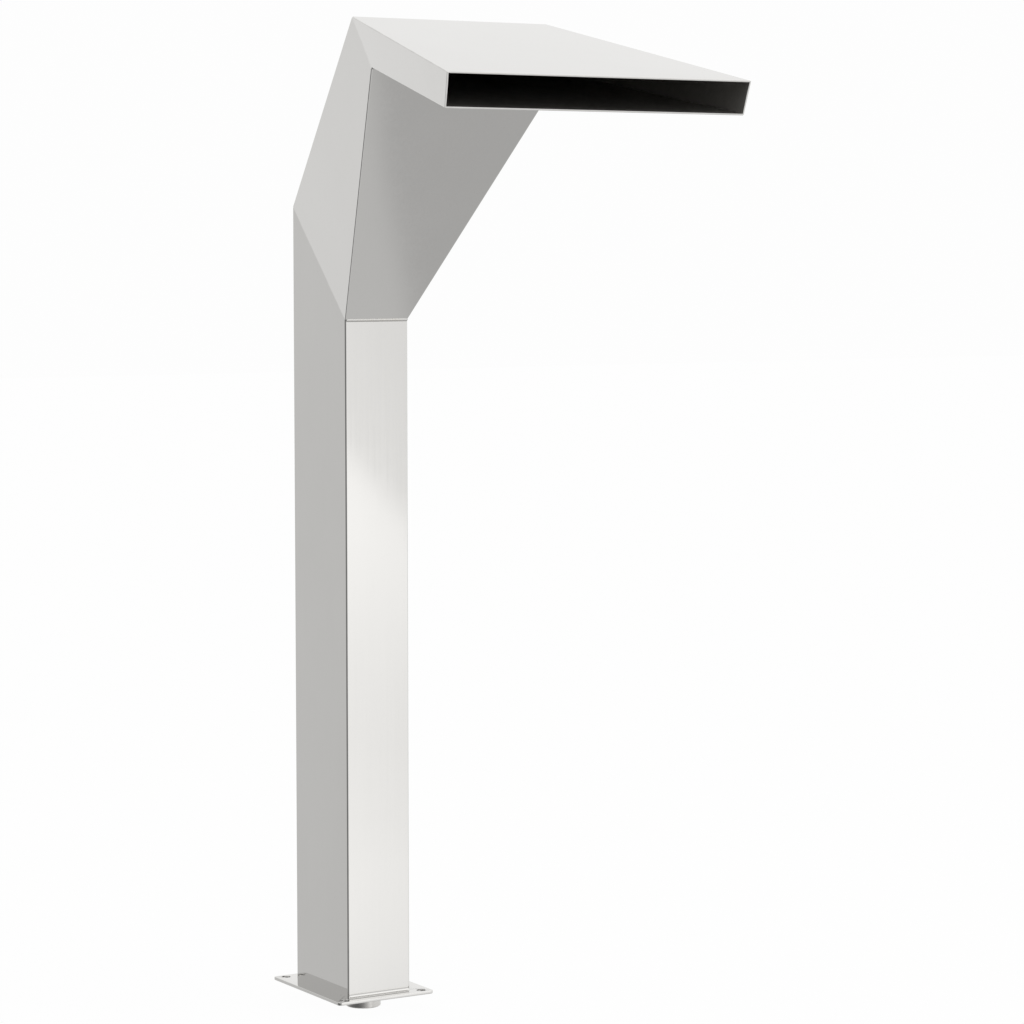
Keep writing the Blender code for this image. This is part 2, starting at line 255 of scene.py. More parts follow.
def weld_steel(name, colour, rough, seed, toe=None, straw_share=0.35):
    """A brushed-off weld bead: straw tint in patches, small pits; when toe is given, painted shade darkens the bead's
    upper part where it meets the wall.
    """
    m, t, b, where = new_material(name)
    moved = t.stretch(where, (1.0, 1.0, 1.0))
    moved.node.inputs["Location"].default_value = (seed * 0.3, seed, seed * 0.8)
    patch = t.noise(moved, 55.0, 3.0, 0.5)
    pits = t.noise(moved, 520.0, 4.0, 0.6)
    straw = (colour[0] * 0.97, colour[1] * 0.9, colour[2] * 0.78)
    metal = t.blend(t.remap(patch, 0.5, 0.75, 0.0, straw_share), (*colour, 1.0), (*straw, 1.0))
    if toe:
        # painted shade: above the heights in toe the colour falls to toe[2], the shade of the crease where the bead
        # meets the wall
        split = t.add("ShaderNodeSeparateXYZ")
        t.link(where, split.inputs[0])
        metal = t.tint(metal, t.remap(split.outputs[2], toe[0], toe[1], 1.0, toe[2]))
    t.link(metal, b.inputs["Base Color"])
    t.link(t.remap(pits, 0.3, 0.75, rough - 0.04, rough + 0.1), b.inputs["Roughness"])
    b.inputs["Metallic"].default_value = 1.0
    bump = t.add("ShaderNodeBump")
    bump.inputs["Strength"].default_value = 0.5
    bump.inputs["Distance"].default_value = 0.02 * MM
    t.link(pits, bump.inputs["Height"])
    t.link(bump.outputs[0], b.inputs["Normal"])
    return m


STEEL = (0.612, 0.606, 0.5945)
VERTICAL_GRAIN = (420.0, 420.0, 9.0)
SEAM = seam_steel("ground_corner_seam", (0.605, 0.599, 0.587), 0.06, 3.0)
INNER = mill_steel("duct_inside_mill_finish", (0.52, 0.51, 0.49), 0.34, 5.0, film=0.025)
INNER_SIDE = mill_steel("duct_inside_side_wall", (0.5, 0.485, 0.46), 0.42, 7.0, film=0.27)
CUT = seam_steel("laser_cut_edge", (0.60, 0.594, 0.582), 0.09, 9.0)


# ----------------------------------------------------------- duct geometry
def crease_distance(y, z):
    dy, dz = 2 * POST_Y, POST_BACK_Z - POST_FRONT_Z
    return (-(y + POST_Y) * dz + (z - POST_FRONT_Z) * dy) / sqrt(dy * dy + dz * dz)


def flared(y, z):
    return POST_X + NECK_FLARE * crease_distance(y, z)


FOOT_Z = PLATE_T
RIGHT = {
    "foot_back": Vector((POST_X, POST_Y, FOOT_Z)),
    "foot_front": Vector((POST_X, -POST_Y, FOOT_Z)),
    "post_back": Vector((POST_X, POST_Y, POST_BACK_Z)),
    "post_front": Vector((POST_X, -POST_Y, POST_FRONT_Z)),
    "head_back": Vector((flared(HEAD_BACK_Y, HEAD_BACK_Z), HEAD_BACK_Y, HEAD_BACK_Z)),
    "throat": Vector((flared(THROAT_Y, THROAT_Z), THROAT_Y, THROAT_Z)),
    "mouth_top": MOUTH_TOP,
    "mouth_low": MOUTH_LOW,
}
CORNERS = {("R", k): v.copy() for k, v in RIGHT.items()}
CORNERS.update({("L", k): Vector((-v.x, v.y, v.z)) for k, v in RIGHT.items()})


def r(name):
    return ("R", name)


def l(name):
    return ("L", name)


PANELS = {
    "post_right_side": [r("foot_front"), r("foot_back"), r("post_back"), r("post_front")],
    "post_left_side": [l("foot_back"), l("foot_front"), l("post_front"), l("post_back")],
    "post_back_panel": [r("foot_back"), l("foot_back"), l("post_back"), r("post_back")],
    "post_front_panel": [l("foot_front"), r("foot_front"), r("post_front"), l("post_front")],
    "neck_right_side": [r("throat"), r("post_front"), r("post_back"), r("head_back")],
    "neck_left_side": [l("head_back"), l("post_back"), l("post_front"), l("throat")],
    "neck_back_panel": [r("post_back"), l("post_back"), l("head_back"), r("head_back")],
    "neck_underside_panel": [l("post_front"), r("post_front"), r("throat"), l("throat")],
    "head_right_side": [r("throat"), r("head_back"), r("mouth_top"), r("mouth_low")],
    "head_left_side": [l("mouth_low"), l("mouth_top"), l("head_back"), l("throat")],
    "head_top_panel": [r("head_back"), l("head_back"), l("mouth_top"), r("mouth_top")],
    "head_floor_panel": [l("throat"), r("throat"), r("mouth_low"), l("mouth_low")],
}
MOUTH_DOWN = MOUTH_LOW - MOUTH_TOP
MOUTH_NORMAL = Vector((0.0, MOUTH_DOWN.z, -MOUTH_DOWN.y)).normalized()
FOOT_NORMAL = Vector((0.0, 0.0, -1.0))


def duct_middle(p):
    if p.z < 0.5 * (POST_FRONT_Z + POST_BACK_Z) and abs(p.y) < POST_Y + 1e-6:
        return Vector((0.0, 0.0, p.z))
    if p.y > THROAT_Y * 0.95:
        return Vector((0.0, -0.11, 0.79))
    t = (p.y - THROAT_Y) / (MOUTH_TOP.y - THROAT_Y)
    return Vector((0.0, p.y, 0.877 + t * (0.826 - 0.877)))


def ring_centre(ring):
    return sum((CORNERS[c] for c in ring), Vector()) / 4


def local_normal(panel, corner):
    ring = PANELS[panel]
    i = ring.index(corner)
    here = CORNERS[corner]
    n = (CORNERS[ring[(i + 1) % 4]] - here).cross(CORNERS[ring[(i - 1) % 4]] - here).normalized()
    c = ring_centre(ring)
    return n if n.dot(c - duct_middle(c)) > 0 else -n


def neighbour(panel, a, b):
    for other, ring in PANELS.items():
        if other != panel and a in ring and b in ring and (ring.index(a) - ring.index(b)) % 4 in (1, 3):
            return other
    return None


def meet(planes):
    m = Matrix([n for _, n in planes])
    return m.inverted() @ Vector([p.dot(n) for p, n in planes])


def mitre(panel, corner, a, b):
    """The plane that parts a panel from its neighbour along edge a-b; a free edge's plane is pushed clear."""
    p, n, other = CORNERS[corner], local_normal(panel, corner), neighbour(panel, a, b)
    if other is None:
        m = MOUTH_NORMAL if "mouth" in a[1] else FOOT_NORMAL
        return p + m * 0.012, m
    return p, (n - local_normal(other, corner)).normalized()


def box_cage(name, low_ring, high_ring, cuts, slot):
    """A cube cage whose corners are moved to two rings of four points, cut along its length."""
    bm = bmesh.new()
    bmesh.ops.create_cube(bm, size=2.0)
    if cuts:
        along = [e for e in bm.edges if abs(e.verts[0].co.x - e.verts[1].co.x) > 1.0]
        bmesh.ops.subdivide_edges(bm, edges=along, cuts=cuts, use_grid_fill=True)
    for v in bm.verts:
        u, s, w = (v.co.x + 1) / 2, (v.co.y + 1) / 2, (v.co.z + 1) / 2
        ends = [q[0].lerp(q[1], u).lerp(q[3].lerp(q[2], u), s) for q in (low_ring, high_ring)]
        v.co = ends[0].lerp(ends[1], w)
    outward(bm)
    for f in bm.faces:
        f.material_index = slot
    return from_bmesh(name, bm)


def outward(bm):
    bmesh.ops.recalc_face_normals(bm, faces=bm.faces)
    if bm.calc_volume(signed=True) < 0:
        bmesh.ops.reverse_faces(bm, faces=bm.faces)


def from_bmesh(name, bm):
    mesh = bpy.data.meshes.new(name)
    bm.to_mesh(mesh)
    bm.free()
    obj = bpy.data.objects.new(name, mesh)
    bpy.context.scene.collection.objects.link(obj)
    return obj


def baked(obj, name=None):
    """The object with its modifiers applied, as a new plain mesh object; the old one goes."""
    bpy.context.view_layer.update()
    deps = bpy.context.evaluated_depsgraph_get()
    mesh = bpy.data.meshes.new_from_object(obj.evaluated_get(deps), preserve_all_data_layers=True, depsgraph=deps)
    mesh.name = name or obj.name
    out = bpy.data.objects.new(name or obj.name, mesh)
    out.matrix_world = obj.matrix_world.copy()
    bpy.context.scene.collection.objects.link(out)
    bpy.data.objects.remove(obj, do_unlink=True)
    return out


def boolean(obj, other, operation):
    m = obj.modifiers.new("cut", "BOOLEAN")
    m.operation = operation
    m.solver = "EXACT"
    m.object = other
    m.material_mode = "INDEX"
    return m


STRIPS = 12


def rail(a, b, side, i):
    pa, pb = CORNERS[(side, a)], CORNERS[(side, b)]
    return pa.lerp(pb, i / STRIPS)


def duct_solid(name, corner, rails, foot_drop, mouth_push, slot):
    """A closed solid of the duct's shape. corner and rails give its points; the ends can be pushed out."""
    bm = bmesh.new()
    v = {}
    for side in "RL":
        for key in ("foot_back", "foot_front", "post_back", "post_front"):
            p = corner[(side, key)].copy()
            if key.startswith("foot"):
                p.z -= foot_drop
            v[side, key] = bm.verts.new(p)
        for which in ("top", "low"):
            for i in range(STRIPS + 1):
                p = rails[side, which, i].copy()
                v[side, which, i] = bm.verts.new(p)
            if mouth_push:
                along = (rails[side, which, STRIPS] - rails[side, which, STRIPS - 1]).normalized()
                v[side, which, STRIPS].co = rails[side, which, STRIPS] + along * mouth_push
    roles = {}

    def face(keys, role):
        f = bm.faces.new([v[k] for k in keys])
        f.material_index = slot
        roles[f] = role

    for s in "RL":
        face([(s, "foot_front"), (s, "foot_back"), (s, "post_back"), (s, "post_front")], "post_side")
        face([(s, "low", 0), (s, "post_front"), (s, "post_back"), (s, "top", 0)], "neck_side")
        for i in range(STRIPS):
            face([(s, "low", i), (s, "top", i), (s, "top", i + 1), (s, "low", i + 1)], "head_side")
    face([("R", "foot_back"), ("L", "foot_back"), ("L", "post_back"), ("R", "post_back")], "post_back")
    face([("L", "foot_front"), ("R", "foot_front"), ("R", "post_front"), ("L", "post_front")], "post_front")
    face([("R", "post_back"), ("L", "post_back"), ("L", "top", 0), ("R", "top", 0)], "neck_back")
    face([("L", "post_front"), ("R", "post_front"), ("R", "low", 0), ("L", "low", 0)], "neck_under")
    for i in range(STRIPS):
        face([("R", "top", i), ("L", "top", i), ("L", "top", i + 1), ("R", "top", i + 1)], "head_top")
        face([("L", "low", i), ("R", "low", i), ("R", "low", i + 1), ("L", "low", i + 1)], "head_floor")
    face([("R", "foot_front"), ("L", "foot_front"), ("L", "foot_back"), ("R", "foot_back")], "foot")
    face([("R", "top", STRIPS), ("L", "top", STRIPS), ("L", "low", STRIPS), ("R", "low", STRIPS)], "mouth")
    outward(bm)
    return bm, roles


WIDEST_BEVEL = 2.0 * MM
ROUNDING = {  # how far each corner's rounding reaches from the edge, by the two faces that meet there
    frozenset(("post_side", "post_front")): 1.5 * MM,
    frozenset(("post_side", "post_back")): 1.5 * MM,
    frozenset(("neck_side", "neck_under")): 1.3 * MM,
    frozenset(("neck_side", "neck_back")): 1.5 * MM,
    frozenset(("head_side", "head_top")): 1.3 * MM,
    frozenset(("head_side", "head_floor")): 1.3 * MM,
    frozenset(("post_back", "neck_back")): 1.6 * MM,
    frozenset(("neck_back", "head_top")): 1.4 * MM,
    frozenset(("post_side", "neck_side")): 0.9 * MM,
    frozenset(("neck_side", "head_side")): 2.0 * MM,
}


def build_shell():
    """The whole sheet-metal duct as one hollow solid, with rounded corners; the panels are then cut from it."""
    rails = {}
    for s in "RL":
        for i in range(STRIPS + 1):
            rails[s, "top", i] = rail("head_back", "mouth_top", s, i)
            rails[s, "low", i] = rail("throat", "mouth_low", s, i)
    bm, roles = duct_solid("duct_outer", CORNERS, rails, 0.0, 0.0, 0)
    weight = bm.edges.layers.float.new("bevel_weight_edge")
    for e in bm.edges:
        if len(e.link_faces) == 2:
            pair = frozenset(roles[f] for f in e.link_faces)
            if len(pair) == 2 and pair in ROUNDING:
                e[weight] = ROUNDING[pair] / WIDEST_BEVEL
    outer = from_bmesh("duct_outer", bm)
    for m in (None, None, None, None):
        outer.data.materials.append(m)
    bevel = outer.modifiers.new("rounded_corners", "BEVEL")
    bevel.width = WIDEST_BEVEL
    bevel.offset_type = "OFFSET"
    bevel.segments = 6
    bevel.limit_method = "WEIGHT"
    bevel.use_clamp_overlap = False
    bevel.material = 1
    outer = baked(outer)

    # the inside, one sheet thickness in: each corner is where the inner faces of its panels meet best
    def inner_point(p, normals):
        a = np.array([tuple(n) for n in normals])
        d = np.array([n.dot(p) - SHEET for n in normals])
        x, *_ = np.linalg.lstsq(a, d, rcond=None)
        return Vector(x)

    inner_corner = {}
    for c in CORNERS:
        normals = [local_normal(panel, c) for panel, ring in PANELS.items() if c in ring]
        if "foot" in c[1]:
            p = CORNERS[c]
            q = inner_point(p, normals)
            inner_corner[c] = Vector((q.x, q.y, p.z))
        elif "mouth" in c[1]:
            p = CORNERS[c]
            a = [(p - n * SHEET, n) for n in normals] + [(p, MOUTH_NORMAL)]
            inner_corner[c] = meet(a)
        else:
            inner_corner[c] = inner_point(CORNERS[c], normals)
    inner_rails = {}
    for s in "RL":
        for i in range(STRIPS + 1):
            t = i / STRIPS
            inner_rails[s, "top", i] = inner_corner[s, "head_back"].lerp(inner_corner[s, "mouth_top"], t)
            inner_rails[s, "low", i] = inner_corner[s, "throat"].lerp(inner_corner[s, "mouth_low"], t)
    bm, _ = duct_solid("duct_inner", inner_corner, inner_rails, 0.01, 0.01, 2)
    inner = from_bmesh("duct_inner", bm)
    boolean(outer, inner, "DIFFERENCE")
    shell = baked(outer, "duct_shell")
    bpy.data.objects.remove(inner, do_unlink=True)

    # the cut rim of the mouth gets its own finish and a small rounding
    bm = bmesh.new()
    bm.from_mesh(shell.data)
    on_mouth = lambda co: abs((co - MOUTH_TOP).dot(MOUTH_NORMAL)) < 2e-6
    weight = bm.edges.layers.float.get("bevel_weight_edge") or bm.edges.layers.float.new("bevel_weight_edge")
    rim = [f for f in bm.faces if all(on_mouth(v.co) for v in f.verts)]

    def rim_break(co):
        """How strongly an edge of the rim is broken: the outer edges more than the inner ones."""
        height = MOUTH_DOWN.yz.length
        depth = (co - MOUTH_TOP).yz.dot(MOUTH_DOWN.yz) / height
        reach = MOUTH_TOP.x + (MOUTH_LOW.x - MOUTH_TOP.x) * depth / height
        return 1.0 if min(depth, height - depth, reach - abs(co.x)) < 0.55 * MM else 0.6

    for e in bm.edges:
        e[weight] = 0.0
    for f in rim:
        f.material_index = 3
        for e in f.edges:
            if any(g not in rim for g in e.link_faces):
                e[weight] = rim_break((e.verts[0].co + e.verts[1].co) / 2)
    bm.to_mesh(shell.data)
    bm.free()
    bevel = shell.modifiers.new("rim", "BEVEL")
    bevel.width = 0.42 * MM
    bevel.segments = 3
    bevel.limit_method = "WEIGHT"
    bevel.use_clamp_overlap = False
    bevel.material = 3
    return baked(shell, "duct_shell")


def panel_wedge(panel):
    """The space that belongs to one panel, out to its mitre planes."""
    ring = PANELS[panel]
    out_ring, in_ring = [], []
    for i, c in enumerate(ring):
        n = local_normal(panel, c)
        cuts = [mitre(panel, c, ring[i - 1], c), mitre(panel, c, c, ring[(i + 1) % 4])]
        p = CORNERS[c]
        out_ring.append(meet([(p + n * 4 * MM, n), *cuts]))
        in_ring.append(meet([(p - n * 4 * MM, n), *cuts]))
    cuts = 0
    if panel.startswith("head"):
        lengths = [(CORNERS[ring[i]] - CORNERS[ring[(i + 1) % 4]]).length for i in range(4)]
        rails = [i for i in range(4) if {ring[i][1], ring[(i + 1) % 4][1]} in
                 ({"head_back", "mouth_top"}, {"throat", "mouth_low"})]
        k = rails[0]
        out_ring, in_ring = out_ring[k:] + out_ring[:k], in_ring[k:] + in_ring[:k]
        cuts = STRIPS - 1
    return box_cage(panel + "_wedge", in_ring, out_ring, cuts, 2)


def cut_panel(shell, panel, sheet):
    wedge = panel_wedge(panel)
    piece = shell.copy()
    piece.data = shell.data.copy()
    bpy.context.scene.collection.objects.link(piece)
    boolean(piece, wedge, "INTERSECT")
    piece = baked(piece, panel + "_sheet")
    bpy.data.objects.remove(wedge, do_unlink=True)
    bm = bmesh.new()
    bm.from_mesh(piece.data)
    bmesh.ops.remove_doubles(bm, verts=bm.verts, dist=1e-6)
    bmesh.ops.dissolve_degenerate(bm, edges=bm.edges, dist=1e-6)
    bm.to_mesh(piece.data)
    bm.free()
    kept = [f.material_index for f in piece.data.polygons]
    piece.data.materials.clear()
    for m in (sheet, SEAM, INNER_SIDE if panel.startswith("head") and "side" in panel else INNER, CUT):
        piece.data.materials.append(m)
    piece.data.polygons.foreach_set("material_index", kept)
    smooth(piece, 30)
    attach(piece, BODY)
    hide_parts(panel)
    return piece


def smooth(obj, angle):
    """Smooth shading that keeps the flats flat."""
    obj.data.shade_smooth()
    obj.data.set_sharp_from_angle(angle=radians(angle))
    m = obj.modifiers.new("flat_faces_stay_flat", "WEIGHTED_NORMAL")
    m.mode = "FACE_AREA"
    m.weight = 100
    m.keep_sharp = True


GRAIN = {
    "post": (VERTICAL_GRAIN, (0.0, 0.0, 0.0)),
    "neck": (VERTICAL_GRAIN, (radians(-35), 0.0, 0.0)),
    "head": ((420.0, 9.0, 420.0), (radians(-13), 0.0, 0.0)),
}
# painted shade: the neck's downward-facing underside sheet gets a 1.5 % darker colour
PANEL_SHADE_TONE = {
    "neck_underside_panel": 0.985,
}
shell = build_shell()
for number, panel in enumerate(PANELS):
    grain, turn = GRAIN[panel.split("_")[0]]
    # k below 1 is painted shade on that sheet's colour
    k = PANEL_SHADE_TONE.get(panel, 1.0)
    sheet = polished_steel("polished_" + panel, tuple(k * c for c in STEEL), 0.042, grain, 1.0 + number, grain_turn=turn, smudge=0.018)
    cut_panel(shell, panel, sheet)
bpy.data.objects.remove(shell, do_unlink=True)


# ------------------------------------------------------------- flat plates
def circle(x, y, radius, count):
    return [(x + radius * cos(2 * pi * i / count), y + radius * sin(2 * pi * i / count)) for i in range(count)]


def rounded_rectangle(half_x, half_y, radius, steps=6):
    points = []
    for cx, cy, start in ((1, 1, 0), (-1, 1, 90), (-1, -1, 180), (1, -1, 270)):
        for i in range(steps + 1):
            a = radians(start + 90 * i / steps)
            points.append((cx * (half_x - radius) + radius * cos(a), cy * (half_y - radius) + radius * sin(a)))
    return points


def plate(name, outlines, thickness, z, edge, hole_edge, mats, node):
    curve = bpy.data.curves.new(name, "CURVE")
    curve.dimensions = "2D"
    curve.fill_mode = "BOTH"
    curve.extrude = thickness / 2
    for points in outlines:
        spline = curve.splines.new("POLY")
        spline.points.add(len(points) - 1)
        for p, (x, y) in zip(spline.points, points):
            p.co = (x, y, 0.0, 1.0)
        spline.use_cyclic_u = True
    obj = bpy.data.objects.new(name, curve)
    bpy.context.scene.collection.objects.link(obj)
    obj.location = (0.0, 0.0, z + thickness / 2)
    obj = baked(obj, name)
    obj.data.transform(obj.matrix_world)
    obj.matrix_world = Matrix.Identity(4)
    bm = bmesh.new()
    bm.from_mesh(obj.data)
    bmesh.ops.remove_doubles(bm, verts=bm.verts, dist=1e-6)
    outward(bm)
    for f in bm.faces:
        f.material_index = 0 if abs(f.normal.z) > 0.9 else 1
    weight = bm.edges.layers.float.new("bevel_weight_edge")
    wide, deep = (max(abs(c[k]) for c in outlines[0]) for k in (0, 1))
    for e in bm.edges:
        if len(e.link_faces) == 2 and e.calc_face_angle() > radians(50):
            mid = (e.verts[0].co + e.verts[1].co) / 2
            outer = wide - abs(mid.x) < 2.0 * MM or deep - abs(mid.y) < 2.0 * MM
            e[weight] = 1.0 if outer else hole_edge / edge
    bm.to_mesh(obj.data)
    bm.free()
    obj.data.materials.clear()
    for m in mats:
        obj.data.materials.append(m)
    bevel = obj.modifiers.new("deburred", "BEVEL")
    bevel.width = edge
    bevel.segments = 3
    bevel.limit_method = "WEIGHT"
    bevel.use_clamp_overlap = False
    bevel.material = 1
    obj = baked(obj, name)
    smooth(obj, 30)
    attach(obj, BODY)
    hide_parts(node)
    return obj


PLATE_STEEL = polished_steel("polished_base_plate", STEEL, 0.05, (9.0, 420.0, 420.0), 31.0, wave=0.05, smudge=0.03)
plate(
    "foot_plate",
    [rounded_rectangle(PLATE_X / 2, PLATE_Y / 2, 3.5 * MM), circle(0.0, INLET_Y, INLET_HOLE_R, 96)]
    + [circle(sx * BOLT_X, sy * BOLT_Y, BOLT_HOLE_R, 48) for sx in (-1, 1) for sy in (-1, 1)],
    PLATE_T, 0.0, 0.65 * MM, 0.3 * MM, (PLATE_STEEL, CUT), "base_plate",
)

INNER_PLATE = mill_steel("mill_finish_diffuser", (0.5, 0.49, 0.47), 0.3, 41.0)
holes = [
    circle((c - 1.5) * 11.0 * MM, (w - 2.5) * 14.5 * MM, DIFFUSER_HOLE_R, 32)
    for c in range(4) for w in range(6)
]
plate(
    "perforated_diffuser",
    [rounded_rectangle(POST_X - SHEET - 0.6 * MM, POST_Y - SHEET - 0.6 * MM, 1.0 * MM)] + holes,
    DIFFUSER_T, DIFFUSER_Z, 0.2 * MM, 0.2 * MM, (INNER_PLATE, CUT), "diffuser_plate",
)


def ledge(name, node, sign):
    """A folded angle strip: an L section with a rounded heel, drawn out along Y."""
    leg, t, heel = 8.0 * MM, 1.2 * MM, 1.6 * MM
    lo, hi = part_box(node)
    x0 = hi.x if sign > 0 else lo.x
    z0 = hi.z
    section = [(0.0 + 0.0, -leg)]
    for i in range(7):  # round the heel from the vertical leg to the flat one
        a = radians(90 * i / 6)
        section.append((-(heel - heel * cos(a)), -(heel - heel * sin(a))))
    section.append((-leg, 0.0))
    section.append((-leg, -t))
    inner = max(heel - t, 0.25 * MM)
    for i in range(5):
        a = radians(90 - 90 * i / 4)
        section.append((-t - inner + inner * cos(a), -t - inner + inner * sin(a)))
    section.append((-t, -leg))
    bm = bmesh.new()
    rings = []
    stations = 9
    for k in range(stations):
        y = lo.y + (hi.y - lo.y) * k / (stations - 1)
        rings.append([bm.verts.new((x0 + sign * sx, y, z0 + sz)) for sx, sz in section])
    count = len(section)
    for a, b in zip(rings, rings[1:]):
        for i in range(count):
            bm.faces.new((a[i], a[(i + 1) % count], b[(i + 1) % count], b[i]))
    bm.faces.new(rings[0])
    bm.faces.new(list(reversed(rings[-1])))
    outward(bm)
    obj = from_bmesh(name, bm)
    obj.data.materials.append(mill_steel("mill_finish_" + name, (0.5, 0.49, 0.47), 0.3, 50.0 + sign))
    smooth(obj, 35)
    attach(obj, BODY)
    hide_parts(node)


ledge("left_angle_strip", "diffuser_ledge_left", -1)
ledge("right_angle_strip", "diffuser_ledge_right", 1)


# -------------------------------------------------------------- weld beads
def swept(name, stations, closed, material, node):
    """Skins a list of closed sections, one per station along a weld."""
    bm = bmesh.new()
    rings = [[bm.verts.new(p) for p in section] for section in stations]
    count = len(stations[0])
    pairs = list(zip(rings, rings[1:])) + ([(rings[-1], rings[0])] if closed else [])
    for a, b in pairs:
        for i in range(count):
            bm.faces.new((a[i], a[(i + 1) % count], b[(i + 1) % count], b[i]))
    if not closed:
        bm.faces.new(rings[0])
        bm.faces.new(list(reversed(rings[-1])))
    outward(bm)
    obj = from_bmesh(name, bm)
    obj.data.materials.append(material)
    smooth(obj, 50)
    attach(obj, BODY)
    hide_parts(node)
    return obj


def ripple(s, pitch):
    """The scalloped crown of a hand-made bead, 0 to 1."""
    return abs(sin(pi * s / pitch)) ** 0.6


def seam_bead(name, corner, panel_a, panel_b, node, reach, crown):
    """A bead laid in the inside corner between two panels."""
    p = CORNERS[corner]
    half = abs(p.x)
    na, nb = local_normal(panel_a, corner), local_normal(panel_b, corner)
    x_axis = Vector((1, 0, 0))
    da, db = na.cross(x_axis), nb.cross(x_axis)
    ca, cb = ring_centre(PANELS[panel_a]), ring_centre(PANELS[panel_b])
    da = da if da.dot(ca - p) > 0 else -da
    db = db if db.dot(cb - p) > 0 else -db
    out = (na + nb).normalized()
    steps = int(half * 2 / (0.45 * MM))
    stations = []
    for k in range(steps + 1):
        x = -half + 2 * half * k / steps
        taper = min(1.0, sqrt(max(0.0, (half - abs(x) + 0.05 * MM) / (1.2 * MM))))
        grow = taper * (0.93 + 0.07 * ripple(x + 0.4 * MM * sin(x * 900), 1.9 * MM))
        base = Vector((x, p.y, p.z))
        a, b = base + da * reach * grow, base + db * reach * grow
        section = [base - out * 0.5 * MM + da * reach * 0.6 * grow, a - na * 0.25 * MM]
        for i in range(9):
            t = i / 8
            bulge = sin(pi * t) * crown * grow
            section.append(a.lerp(b, t) + out * bulge)
        section += [b - nb * 0.25 * MM, base - out * 0.5 * MM + db * reach * 0.6 * grow]
        stations.append(section)
    return swept(name, stations, False, weld_steel("weld_" + name, (0.52, 0.514, 0.503), 0.24, 60.0 + half * 100), node)


seam_bead("front_bead", r("post_front"), "post_front_panel", "neck_underside_panel", "front_seam_weld", 1.5 * MM, 0.55 * MM)
seam_bead("throat_bead", r("throat"), "neck_underside_panel", "head_floor_panel", "throat_seam_weld", 1.5 * MM, 0.55 * MM)


def fillet(name, path, leg, hollow, material, node, z):
    """A fillet weld round an upright wall; path gives (point on the wall, outward direction, distance along)."""
    stations = []
    for (x, y), (nx, ny), s in path:
        grow = 0.94 + 0.06 * ripple(s, 2.1 * MM)
        section = [(-0.25 * MM, -0.1 * MM), (-0.25 * MM, leg * grow * 0.98), (0.0, leg * grow)]
        for i in range(1, 8):
            t = i / 8
            u = leg * grow * t
            w = leg * grow * (1 - t)
            dip = -hollow * sin(pi * t)
            section.append((u + dip * 0.7, w + dip * 0.7))
        section += [(leg * grow, 0.0), (leg * grow * 0.98, -0.1 * MM)]
        stations.append([Vector((x + nx * u, y + ny * u, z + w)) for u, w in section])
    return swept(name, stations, True, material, node)


def foot_bead(name, sign, node):
    """A fillet weld along the foot of the front or back wall: hollow face, scalloped toe, rounded ends."""
    leg, half = 2.5 * MM, POST_X - 0.5 * MM
    # painted shade: the bead's colour is darkened to 0.6 from 1.35 to 1.6 mm over the plate upward, along the wall
    material = weld_steel("weld_" + name, (0.62, 0.613, 0.60), 0.09, 71.0 + sign, toe=(PLATE_T + 1.35 * MM, PLATE_T + 1.6 * MM, 0.6), straw_share=0.0)
    steps = 130
    stations = []
    for k in range(steps + 1):
        x = -half + 2 * half * k / steps
        taper = min(1.0, sqrt(max(0.0, (half - abs(x) + 0.06 * MM) / (1.2 * MM))))
        grow = leg * taper * (0.97 + 0.03 * ripple(x + 0.3 * MM * sin(x * 700), 2.1 * MM))
        section = [(-0.2 * MM, -0.05 * MM), (-0.2 * MM, 0.97 * grow)]
        for i in range(15):
            turn = 0.5 * pi * i / 14
            section.append((0.05 * MM + (grow - 0.05 * MM) * (1 - cos(turn)), 0.05 * MM + (grow - 0.05 * MM) * (1 - sin(turn))))
        section += [(grow * 0.99, -0.05 * MM)]
        stations.append([Vector((x, sign * (POST_Y + u), PLATE_T + w)) for u, w in section])
    return swept(name, stations, False, material, node)


foot_bead("front_foot_bead", -1, "foot_weld_front")
foot_bead("back_foot_bead", 1, "foot_weld_back")

ring_path = [((NIPPLE_R * cos(a), INLET_Y + NIPPLE_R * sin(a)), (cos(a), sin(a)), NIPPLE_R * a)
             for a in (2 * pi * i / 180 for i in range(180))]
fillet("inlet_fillet", ring_path, 3.0 * MM, -0.15 * MM,
       weld_steel("weld_inlet", (0.52, 0.50, 0.47), 0.3, 77.0), "inlet_weld_ring", PLATE_T)


